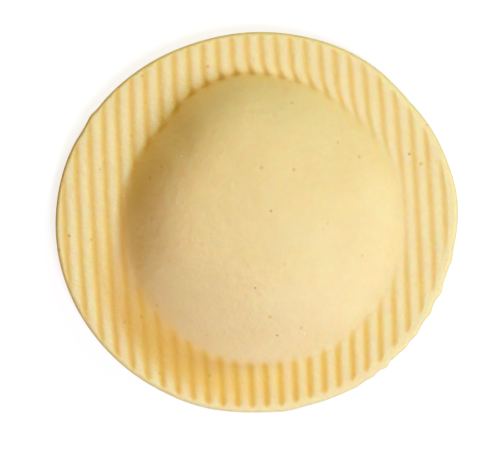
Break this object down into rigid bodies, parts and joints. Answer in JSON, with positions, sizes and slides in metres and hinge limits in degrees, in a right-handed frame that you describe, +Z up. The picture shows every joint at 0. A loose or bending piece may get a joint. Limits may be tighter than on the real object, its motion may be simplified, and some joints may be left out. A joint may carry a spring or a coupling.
{
  "type": "round ridged raviolo",
  "caption": "Round filled pasta: a smooth dome of dough over a soft filling, in a flat flange of parallel ridges, sealed to a flat sheet below. Food, boiled and eaten whole.",
  "frame": {"origin": "middle of the flat underside, where the raviolo rests", "axes": "+X across the ridges, the long way of the oval; +Y along the ridges; +Z up, out of the dome"},
  "size_m": [0.06, 0.057, 0.0119],
  "materials": {
    "dough_top": "matt fresh egg dough with fine flour grain",
    "dough_bottom": "matt fresh egg dough, dusted with flour",
    "filling": "moist, crumbly soft cheese with herb flecks"
  },
  "bodies": {
    "root": {"bottom_sheet": "dough_bottom", "filling": "filling", "top_sheet": "dough_top"}
  },
  "joints": []
}
